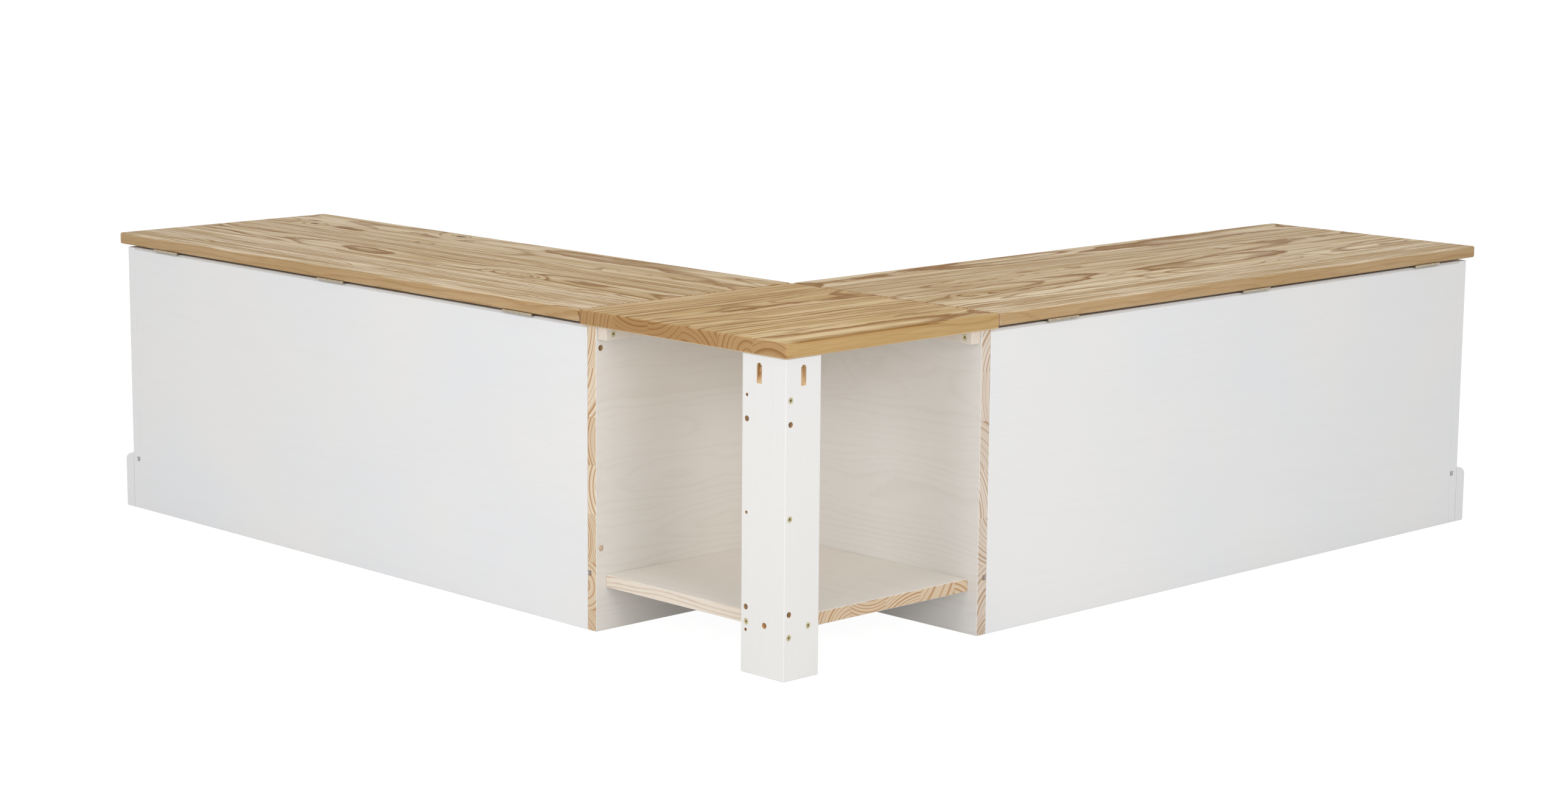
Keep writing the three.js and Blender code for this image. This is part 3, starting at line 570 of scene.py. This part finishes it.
# How deep the looks of the long edges, the ends and the underside's painted shading reach
RIM_REACH = 0.0012
END_REACH = (0.003, 0.0005)
UNDER_REACH = (0.0022, 0.0008)
RIM_PLAIN = 0.75
END_PLAIN = 0.4
LID_SEAM = -0.776
LID_STAVES = {
    "left": (
        (-0.100, -0.020, 0.0060, 0.01), (0.010, -0.070, 0.0060, -0.02), (0.000, -0.070, 0.0070, 0.01),
        (0.004, -0.060, 0.0085, 0.02), (0.060, 0.040, 0.0055, 0.01), (0.000, -0.080, 0.0100, -0.02)),
    "right": (
        (-0.090, -0.030, 0.0065, 0.02), (0.045, -0.050, 0.0050, -0.01), (0.000, -0.055, 0.0065, 0.01),
        (0.050, 0.060, 0.0055, 0.02), (0.008, -0.070, 0.0080, -0.02), (0.000, -0.070, 0.0065, 0.02)),
}
LID_SWIRLS = {
    "left": (
        (3, -0.120, -0.532, 0.190, 0.028, 3.2), (3, 0.020, -0.530, 0.060, 0.020, 1.4),
        (2, -0.250, -0.620, 0.060, 0.022, 2.2), (2, 0.075, -0.615, 0.090, 0.018, 1.6),
        (5, 0.100, -0.390, 0.200, 0.022, 2.0), (1, 0.420, -0.672, 0.120, 0.024, 2.2)),
    "right": (
        (0, 0.180, -0.735, 0.120, 0.026, 3.0), (0, -0.270, -0.745, 0.080, 0.022, 1.6),
        (0, 0.575, -0.738, 0.070, 0.020, 2.4), (2, -0.030, -0.612, 0.090, 0.026, 4.0),
        (4, 0.352, -0.480, 0.045, 0.016, 1.6), (4, -0.130, -0.470, 0.110, 0.022, 2.2)),
}
LID_KNOTS = {"left": (), "right": ((4, 0.674, -0.463, 0.007), (5, 0.376, -0.390, 0.009))}


def oiled_pine(node, axes, seam, staves, colours, swirls=(), knots=()):
    material, tree, shader = finished_material(f"oiled_{node}", OIL_ROUGHNESS)
    wood = grown_pine(tree, node, axes, seam, staves, swirls, knots)
    sides, near = under_sides(tree, wood["place"], node)
    rim = between(tree, near[axes[1]], RIM_REACH, 0.0)
    end = between(tree, near[axes[0]], *END_REACH)

    def evened(value, level):
        """A share that is the same all over the ends"""
        return calc(tree, "MULTIPLY_ADD", end, calc(tree, "SUBTRACT", level, value), value)

    tint = calc(tree, "MULTIPLY", between(tree, wood["tint"], 0.35, 0.65), TINTED)
    colour = mixed(tree, tint, colours["pale"], colours["honey"])
    streak = evened(between(tree, wood["streak"], 0.38, 0.62), 0.5)
    colour = mixed(tree, calc(tree, "MULTIPLY", streak, STREAKY), colour, colours["honey"])
    thread = evened(between(tree, wood["thread"], 0.5, 0.78), 0.2)
    colour = mixed(tree, calc(tree, "MULTIPLY", thread, THREADY), colour, colours["latewood"])

    # The rings are faint on the long edges and softer on the ends, which took up more oil.
    plain = calc(tree, "MULTIPLY_ADD", end, END_PLAIN, calc(tree, "MULTIPLY", rim, RIM_PLAIN))
    seen_late = calc(tree, "MULTIPLY", wood["late"], calc(tree, "SUBTRACT", 1.0, plain))
    colour = mixed(tree, calc(tree, "MULTIPLY", rim, RIM_TINTED), colour, colours["edge"])
    colour = mixed(tree, seen_late, colour, colours["latewood"])
    fine = between(tree, wood["fibre"], 0.35, 0.75)
    colour = mixed(tree, calc(tree, "MULTIPLY", fine, FIBROUS), colour, colours["latewood"])
    colour = mixed(tree, end, colour, mixed(tree, 1.0, colour, END_DARKENED, "MULTIPLY"))
    colour = mixed(tree, wood["knot"], colour, KNOT)
    # The lower edges and underside take the under colour: painted shade on the lids, painted light on the
    # corner top.
    lower = between(tree, sides["z-"], *UNDER_REACH)
    colour = mixed(tree, calc(tree, "MULTIPLY", lower, LOWER_EDGE_SHADING), colour, colours["under"])
    tree.links.new(colour, shader.inputs["Base Color"])
    rough = calc(tree, "MULTIPLY_ADD", wood["streak"], OIL_STREAKED, OIL_ROUGHNESS)
    tree.links.new(rough, shader.inputs["Roughness"])
    shader.inputs["Specular IOR Level"].default_value = OIL_SPECULAR
    raised(tree, shader, calc(tree, "ADD", wood["late"], wood["fibre"]), OIL_RELIEF)
    return material


def rounded_board(node, corner, material, body):
    """A board that fills a node's box, with its upright corners and then all its edges rounded"""
    low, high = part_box(node)
    form = bmesh.new()
    place = Matrix.Translation((low + high) / 2) @ Matrix.Diagonal((*(high - low), 1))
    bmesh.ops.create_cube(form, size=1, matrix=place)

    def soften(upright, radius):
        edges = [edge for edge in form.edges
                 if (abs(edge.verts[0].co.z - edge.verts[1].co.z) > EDGE_ROUND) == upright]
        bmesh.ops.bevel(form, geom=edges, offset=radius, offset_type="OFFSET", segments=ROUND_STEPS,
                        profile=0.5, affect="EDGES", material=-1)

    soften(True, corner)
    soften(False, EDGE_ROUND)
    return built(f"{node}_board", form, (material,), body, node)


for side, axes in (("left", "xyz"), ("right", "yxz")):
    node = f"{side}_lid"
    wood = oiled_pine(node, axes, LID_SEAM, LID_STAVES[side], LID_COLOURS, LID_SWIRLS[side], LID_KNOTS[side])
    rounded_board(node, LID_CORNER, wood, node)

# Corner top.
# The same pine, a little thicker and more golden than the lids, with a paler line painted along its lower
# edges as the light that the white panels throw onto them. Its grain runs along the left chest, so that its
# end grain is on the right.
# under is a painted light on the top's lower rounded edges, for the light that the white panels throw up
# onto them.
TOP_COLOURS = {
    "pale": (0.74, 0.57, 0.33), "honey": (0.45, 0.285, 0.10), "latewood": (0.25, 0.105, 0.012),
    "edge": (0.53, 0.345, 0.15), "under": (0.80, 0.65, 0.46)}
TOP_CORNER = 0.0036
TOP_SEAM = -0.7838
TOP_STAVES = (
    (0.000, -0.055, 0.0105, 0.02), (-0.024, -0.014, 0.0095, 0.02), (0.033, -0.050, 0.0085, -0.02),
    (0.030, 0.060, 0.0085, 0.02), (-0.012, 0.095, 0.0062, 0.02), (-0.120, -0.025, 0.0072, 0.01))
wood = oiled_pine("corner_top", "xyz", TOP_SEAM, TOP_STAVES, TOP_COLOURS)
rounded_board("corner_top", TOP_CORNER, wood, "bench")

# Screws.
# Countersunk wood screws with a cross recess, zinc plated and passivated yellow, some with an
# olive cast. The two in the leg's pockets have pan heads and hold the corner top.
ZINC_GOLD = (0.68, 0.61, 0.36)
ZINC_OLIVE = (0.50, 0.46, 0.28)
# A dark colour painted into the cross recesses as the shade inside them
RECESS_PAINTED_SHADE = (0.27, 0.22, 0.14)
ZINC_GRAIN = 0.006
ZINC_ROUGHNESS = 0.30
RECESS_ROUGHNESS = 0.55
METAL_UNEVEN = 0.2
METAL_RELIEF = 0.00003
SCREW_STEPS = 32
SHANK_RADIUS = 0.002
TIP_LENGTH = 0.004
SINK = 0.0026
RIM_LIP = 0.0003
PAN_HEIGHT = 0.0022
# A pan head from its underside to its flat top, in shares of its radius and of its height
PAN_PROFILE = ((1, 1), (1, 0.5), (0.88, 0.2), (0.72, 0.05), (0.55, 0))
RECESS_DEPTH = 0.0017
RECESS_NARROWS = 0.55
RECESS_REACH = 0.62
PAN_RECESS_REACH = 0.44
# Each screw's axis, the side its head is on, and how far it was turned in degrees
SCREWS = (
    ("left_shelf_screw", 0, 1, 15),
    ("left_batten_wall_screw", 0, -1, 40),
    ("left_batten_room_screw", 0, -1, 70),
    ("right_shelf_screw", 1, 1, 60),
    ("right_batten_wall_screw", 1, -1, 25),
    ("right_batten_room_screw", 1, -1, 5),
    ("leg_upper_screw", 1, -1, 60),
    ("leg_middle_screw", 1, -1, 35),
    ("leg_lower_screw", 1, -1, 80),
    ("leg_left_shelf_screw", 1, -1, 50),
    ("leg_right_shelf_screw", 0, -1, 20),
    ("leg_left_pocket_screw", 2, -1, 10),
    ("leg_right_pocket_screw", 2, -1, 75),
)


def plated_metal(name, bright, dull, grain, roughness):
    material, tree, shader = finished_material(name, roughness, 1.0)
    stain = cloud_about(tree, object_place(tree), grain, 4.0, 0.65)
    colour = mixed(tree, between(tree, stain, 0.38, 0.68), bright, dull)
    tree.links.new(colour, shader.inputs["Base Color"])
    rough = calc(tree, "MULTIPLY_ADD", stain, METAL_UNEVEN, roughness - METAL_UNEVEN / 2)
    tree.links.new(rough, shader.inputs["Roughness"])
    raised(tree, shader, stain, METAL_RELIEF)
    return material


def turned_screw(form, outline, recess_reach, recess_depth, turned):
    """A screw about Z with its head's top at zero, and a cross recess sunk in it. The outline
    goes from the tip to the edge of the flat top."""
    spin(form, outline, SCREW_STEPS)
    rim = [edge for edge in form.edges if edge.is_boundary]
    half = recess_reach / 4
    quarter = ((recess_reach, half), (half, half), (half, recess_reach))
    cross = []
    for turn in range(4):
        for x, y in quarter:
            for _ in range(turn):
                x, y = -y, x
            cross.append(form.verts.new((x, y, 0)))
    lines = [form.edges.new(pair) for pair in zip(cross, cross[1:] + cross[:1])]
    bmesh.ops.triangle_fill(form, use_beauty=True, edges=rim + lines)
    sunk = bmesh.ops.extrude_edge_only(form, edges=lines)["geom"]
    for corner in (item for item in sunk if isinstance(item, bmesh.types.BMVert)):
        corner.co.x *= RECESS_NARROWS
        corner.co.y *= RECESS_NARROWS
        corner.co.z = -recess_depth
    walls = [item for item in sunk if isinstance(item, bmesh.types.BMFace)]
    floor = bmesh.ops.triangle_fill(
        form, use_beauty=True, edges=[item for item in sunk if isinstance(item, bmesh.types.BMEdge)])
    # The recess walls and floor take the second material, a painted shade.
    for face in walls + [item for item in floor["geom"] if isinstance(item, bmesh.types.BMFace)]:
        face.material_index = 1
    bmesh.ops.rotate(form, matrix=Matrix.Rotation(math.radians(turned), 3, "Z"), verts=form.verts)


yellow_zinc = plated_metal("yellow_zinc", ZINC_GOLD, ZINC_OLIVE, ZINC_GRAIN, ZINC_ROUGHNESS)
recess_painted_shade = plated_metal("recess_painted_shade", RECESS_PAINTED_SHADE, RECESS_PAINTED_SHADE, ZINC_GRAIN, RECESS_ROUGHNESS)
for node, axis, outward, turned in SCREWS:
    low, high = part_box(node)
    across = (axis + 1) % 3
    radius = (high[across] - low[across]) / 2
    length = high[axis] - low[axis]
    outline = [(0, -length), (SHANK_RADIUS, TIP_LENGTH - length)]
    if "pocket" in node:
        reach = PAN_RECESS_REACH * radius
        outline.append((SHANK_RADIUS, -PAN_HEIGHT))
        outline.extend((share * radius, -down * PAN_HEIGHT) for share, down in PAN_PROFILE)
    else:
        reach = RECESS_REACH * radius
        outline.extend(((SHANK_RADIUS, -SINK), (radius, -RIM_LIP), (radius - RIM_LIP / 2, 0)))
    form = bmesh.new()
    turned_screw(form, outline, reach, RECESS_DEPTH, turned)
    top = (low + high) / 2
    top[axis] = high[axis] if outward > 0 else low[axis]
    facing = Vector((0, 0, 0))
    facing[axis] = outward
    standing(form, top, facing)
    built(f"{node}_turned", form, (yellow_zinc, recess_painted_shade), "bench", node)

# Hinges.
# Six brass-plated steel butt hinges, three to a lid, with five knuckles on a steel pin. Each leaf
# is let in flat between chest and lid and held by three countersunk screws.
HINGE_METAL = (0.56, 0.49, 0.37)
HINGE_TARNISH = (0.32, 0.26, 0.18)
HINGE_GRAIN = 0.0015
HINGE_ROUGHNESS = 0.38
HINGE_RECESS_GRAIN = 0.004
LEAF_NEAR = 0.00015
LEAF_FAR = 0.00135
LEAF_START = 0.0023
BARREL_RADIUS = 0.002
PIN_HOLE = 0.001
KNUCKLES = 5
KNUCKLE_GAP = 0.0003
KNUCKLE_STEPS = 28
LEAF_HOLES = 3
HOLE_RADIUS = 0.0018
HOLE_MOUTH = 0.0031
HOLE_STEPS = 28
LEAF_SCREW_LENGTH = 0.013
LEAF_SCREW_SHANK = 0.0014
LEAF_SCREW_HEAD = 0.0029
LEAF_SCREW_LIP = 0.0001
LEAF_SCREW_SUNK = 0.00018
LEAF_SCREW_RECESS = 0.6
LEAF_SCREW_TURN = 25
LEAF_SCREW_OUTLINE = (
    (0, -LEAF_SCREW_LENGTH), (LEAF_SCREW_SHANK, TIP_LENGTH - LEAF_SCREW_LENGTH),
    (LEAF_SCREW_SHANK, LEAF_NEAR - LEAF_FAR), (LEAF_SCREW_HEAD, -LEAF_SCREW_LIP),
    (LEAF_SCREW_HEAD - LEAF_SCREW_LIP, 0))
PIN_DOME = 0.0004
MIRRORED = Matrix(((0, 1, 0, 0), (1, 0, 0, 0), (0, 0, 1, 0), (0, 0, 0, 1)))


def loop(form, points):
    """A closed run of edges through points"""
    corners = [form.verts.new(point) for point in points]
    return [form.edges.new(pair) for pair in zip(corners, corners[1:] + corners[:1])]


def ring(centre, radius, height):
    x, y = centre
    turns = (2 * math.pi * step / HOLE_STEPS for step in range(HOLE_STEPS))
    return [(x + radius * math.cos(turn), y + radius * math.sin(turn), height) for turn in turns]


def hinge_leaf(form, level, long, wide, holes):
    """A leaf and its knuckles about a pin along X, the leaf towards +Y, on the chest where level
    is -1 and under the lid where it is 1. Its screw holes open towards the other leaf."""
    near = level * LEAF_NEAR
    far = level * LEAF_FAR
    outline = ((-long / 2, LEAF_START), (long / 2, LEAF_START), (long / 2, wide), (-long / 2, wide))
    faces = []
    for height, radius in ((near, HOLE_MOUTH), (far, HOLE_RADIUS)):
        borders = [loop(form, [(x, y, height) for x, y in outline])]
        borders.extend(loop(form, ring(hole, radius, height)) for hole in holes)
        bmesh.ops.triangle_fill(form, use_beauty=True, edges=sum(borders, []))
        faces.append(borders)
    for near_border, far_border in zip(*faces):
        bmesh.ops.bridge_loops(form, edges=near_border + far_border)
    knuckle = (long - (KNUCKLES - 1) * KNUCKLE_GAP) / KNUCKLES
    for index in range(KNUCKLES):
        if (index % 2 == 0) != (level < 0):
            continue
        middle = index * (knuckle + KNUCKLE_GAP) + (knuckle - long) / 2
        tube = bmesh.new()
        spin(tube, (
            (BARREL_RADIUS, -knuckle / 2), (BARREL_RADIUS, knuckle / 2), (PIN_HOLE, knuckle / 2),
            (PIN_HOLE, -knuckle / 2), (BARREL_RADIUS, -knuckle / 2)), KNUCKLE_STEPS)
        standing(tube, (middle, 0, 0), (1, 0, 0))
        size = (knuckle, LEAF_START + LEAF_FAR - PIN_HOLE, LEAF_FAR - LEAF_NEAR)
        place = Matrix.Translation((middle, PIN_HOLE + size[1] / 2, (near + far) / 2))
        bmesh.ops.create_cube(tube, size=1, matrix=place @ Matrix.Diagonal((*size, 1)))
        mesh = bpy.data.meshes.new("knuckle")
        tube.to_mesh(mesh)
        tube.free()
        form.from_mesh(mesh)
        bpy.data.meshes.remove(mesh)


hinge_plating = plated_metal("hinge_plating", HINGE_METAL, HINGE_TARNISH, HINGE_GRAIN, HINGE_ROUGHNESS)
# The hinge screws' recesses get a painted shade as well.
hinge_recess = plated_metal(
    "hinge_recess", RECESS_PAINTED_SHADE, RECESS_PAINTED_SHADE, HINGE_RECESS_GRAIN, RECESS_ROUGHNESS)
for side, run, depth, handed in (("left", 0, 1, Matrix.Identity(4)), ("right", 1, 0, MIRRORED)):
    for where in ("inner", "middle", "outer"):
        low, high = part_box(f"{side}_{where}_hinge_pin")
        centre = (low + high) / 2
        long = high[run] - low[run]
        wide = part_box(f"{side}_{where}_hinge_body_leaf")[1][depth] - centre[depth]
        row = (LEAF_START + wide) / 2
        holes = [(long * ((index + 0.5) / LEAF_HOLES - 0.5), row) for index in range(LEAF_HOLES)]

        # The hinge is built about the origin, mirrored for the right chest and moved to its pin.
        fitted = Matrix.Translation(centre) @ handed
        for leaf, level, body in (("body", -1, "bench"), ("lid", 1, f"{side}_lid")):
            node = f"{side}_{where}_hinge_{leaf}_leaf"
            form = bmesh.new()
            hinge_leaf(form, level, long, wide, holes)
            bmesh.ops.transform(form, matrix=fitted, verts=form.verts)
            built(f"{node}_punched", form, (hinge_plating,), body, node)
            for number, hole in enumerate(holes, 1):
                form = bmesh.new()
                turned_screw(form, LEAF_SCREW_OUTLINE, LEAF_SCREW_RECESS * LEAF_SCREW_HEAD, RECESS_DEPTH / 2,
                             LEAF_SCREW_TURN * number)
                standing(form, (*hole, level * LEAF_SCREW_SUNK), (0, 0, -level))
                bmesh.ops.transform(form, matrix=fitted, verts=form.verts)
                built(f"{node}_screw_{number}", form, (hinge_plating, hinge_recess), body)
        node = f"{side}_{where}_hinge_pin"
        radius = (high.z - low.z) / 2
        form = bmesh.new()
        spin(form, (
            (0, -long / 2), (radius - PIN_DOME, -long / 2), (radius, PIN_DOME - long / 2),
            (radius, long / 2 - PIN_DOME), (radius - PIN_DOME, long / 2), (0, long / 2)), KNUCKLE_STEPS)
        standing(form, (0, 0, 0), (1, 0, 0))
        bmesh.ops.transform(form, matrix=fitted, verts=form.verts)
        built(f"{node}_turned", form, (hinge_plating,), "bench", node)

# Lid pads.
# Small clear domed bumpers, stuck on each front panel's upper edge, that the lid lands on.
PAD_CLEAR = (0.82, 0.82, 0.80)
PAD_DUSTY = (0.74, 0.73, 0.70)
PAD_DUST_SIZE = 0.003
PAD_ROUGHNESS = 0.35
PAD_CLARITY = 0.5
PAD_STEPS = 40
PAD_PROFILE_STEPS = 8
PAD_WALL = 0.35
clear_pad, tree, shader = finished_material("clear_pad", PAD_ROUGHNESS)
dust = cloud_about(tree, object_place(tree), PAD_DUST_SIZE)
tree.links.new(mixed(tree, dust, PAD_CLEAR, PAD_DUSTY), shader.inputs["Base Color"])
shader.inputs["Transmission Weight"].default_value = PAD_CLARITY
for side in ("left", "right"):
    for where in ("inner", "outer"):
        node = f"{side}_{where}_lid_pad"
        low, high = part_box(node)
        radius = (high.x - low.x) / 2
        tall = high.z - low.z
        outline = [(0, -tall), (radius, -tall)]
        for step in range(PAD_PROFILE_STEPS + 1):
            turn = math.pi / 2 * step / PAD_PROFILE_STEPS
            outline.append((radius * math.cos(turn), -tall * (1 - PAD_WALL) * (1 - math.sin(turn))))
        form = bmesh.new()
        spin(form, outline, PAD_STEPS)
        standing(form, ((low.x + high.x) / 2, (low.y + high.y) / 2, high.z), (0, 0, 1))
        built(f"{node}_dome", form, (clear_pad,), "bench", node)

# Camera.
# It looks at the bench's wall corner from behind, well above the seat, as in the photograph.
CAMERA_PLACE = (-3.69474, -3.76848, 1.10312)
CAMERA_HEADING = 44.253
CAMERA_PITCH = -9.908
CAMERA_ROLL = 0.489
CAMERA_LENS = 75.283
CAMERA_REACH = 200
camera = bpy.data.objects.new("camera", bpy.data.cameras.new("camera"))
bpy.context.scene.collection.objects.link(camera)
camera.data.lens = CAMERA_LENS
camera.data.clip_end = CAMERA_REACH
camera.matrix_world = (
    Matrix.Translation(CAMERA_PLACE)
    @ Matrix.Rotation(-math.radians(CAMERA_HEADING), 4, "Z")
    @ Matrix.Rotation(math.radians(90 + CAMERA_PITCH), 4, "X")
    @ Matrix.Rotation(math.radians(CAMERA_ROLL), 4, "Z"))
bpy.context.scene.camera = camera

# Studio floor.
# A white sheet. What the camera sees of it is nearly all its own white, with a faint shadow.
FLOOR_SIZE = 120
FLOOR_GLOW = 0.95
FLOOR_PALE = 0.85
FLOOR_SHADOWED = 0.12
form = bmesh.new()
bmesh.ops.create_grid(form, x_segments=1, y_segments=1, size=FLOOR_SIZE / 2)
floor_mesh = bpy.data.meshes.new("floor")
form.to_mesh(floor_mesh)
form.free()
floor = bpy.data.objects.new("floor", floor_mesh)
bpy.context.scene.collection.objects.link(floor)
floor_material = bpy.data.materials.new("floor")
floor_material.use_nodes = True
floor_mesh.materials.append(floor_material)
tree = floor_material.node_tree
tree.nodes.remove(tree.nodes["Principled BSDF"])


def seen(tree):
    """1 for rays that show the stage itself, in view, in metal or through glass"""
    rays = add_node(tree, "ShaderNodeLightPath").outputs
    mirrored = calc(tree, "MAXIMUM", rays["Is Glossy Ray"], rays["Is Transmission Ray"])
    return calc(tree, "MAXIMUM", rays["Is Camera Ray"], mirrored)


in_view = seen(tree)
share = mixed(tree, in_view, (FLOOR_PALE,) * 3, (FLOOR_SHADOWED,) * 3)
glow = add_node(tree, "ShaderNodeEmission", {"Strength": calc(tree, "MULTIPLY", in_view, FLOOR_GLOW)})
sheet = add_node(tree, "ShaderNodeBsdfDiffuse", {"Color": share})
both = add_node(tree, "ShaderNodeAddShader", {0: glow.outputs[0], 1: sheet.outputs[0]})
tree.links.new(both.outputs[0], tree.nodes["Material Output"].inputs["Surface"])

# Studio light.
# A soft white room, a soft lamp at the camera and one to each side of it, and a big one above.
ROOM_LIGHT = 0.61
# Each lamp's place, its size and its power in watts
LAMPS = (
    ("lamp_at_camera", (-3.5, -3.1, 1.1), 1.6, 16),
    ("lamp_left", (-3.7, -0.95, 1.3), 1.1, 20),
    ("lamp_right", (-1.4, -3.6, 1.3), 1.1, 23),
    ("lamp_above", (-0.45, -0.45, 3.4), 2.5, 26),
)
LAMP_AIM = Vector((0, 0, 0.3))
room = bpy.data.worlds.new("room")
bpy.context.scene.world = room
room.use_nodes = True
backdrop = room.node_tree.nodes["Background"]
backdrop.inputs["Color"].default_value = (1, 1, 1, 1)
in_view = seen(room.node_tree)
strength = calc(room.node_tree, "MULTIPLY_ADD", in_view, 1 - ROOM_LIGHT, ROOM_LIGHT)
room.node_tree.links.new(strength, backdrop.inputs["Strength"])
for name, place, size, power in LAMPS:
    lamp = bpy.data.lights.new(name, "AREA")
    lamp.size = size
    lamp.energy = power
    holder = bpy.data.objects.new(name, lamp)
    bpy.context.scene.collection.objects.link(holder)
    holder.location = place
    holder.rotation_euler = (LAMP_AIM - Vector(place)).to_track_quat("-Z", "Y").to_euler()

bpy.context.scene.view_settings.view_transform = "Standard"
